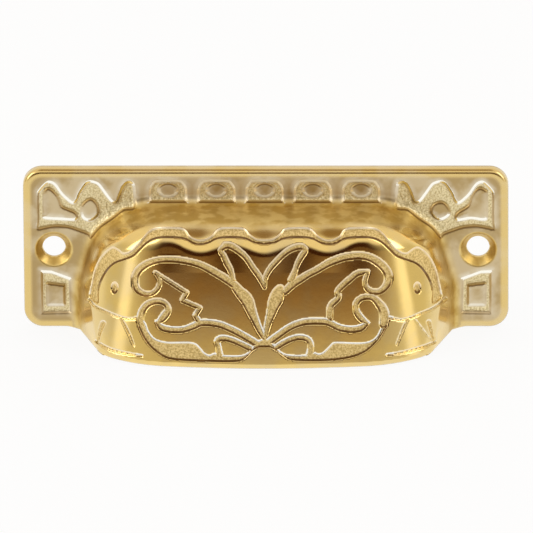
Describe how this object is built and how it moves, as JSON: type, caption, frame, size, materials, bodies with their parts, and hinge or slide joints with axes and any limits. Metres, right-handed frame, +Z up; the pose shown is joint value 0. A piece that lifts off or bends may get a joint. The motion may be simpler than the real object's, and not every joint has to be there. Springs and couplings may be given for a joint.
{
  "type": "bin pull",
  "caption": "Rectangular brass bin pull: back plate with countersunk screw holes and an open-backed, open-bottomed hood for the fingers, all with sunk scroll ornament.",
  "frame": {"origin": "midway between the two screw holes, on the flat back of the plate", "axes": "+X along the plate's length, +Z up as mounted, -Y out of the drawer front towards the user, +Y into the drawer front"},
  "size_m": [0.1016, 0.0263, 0.0356],
  "materials": {
    "brass": "polished cast brass with matt, stippled groove floors"
  },
  "bodies": {
    "root": {"bin_pull": "brass"}
  },
  "joints": []
}
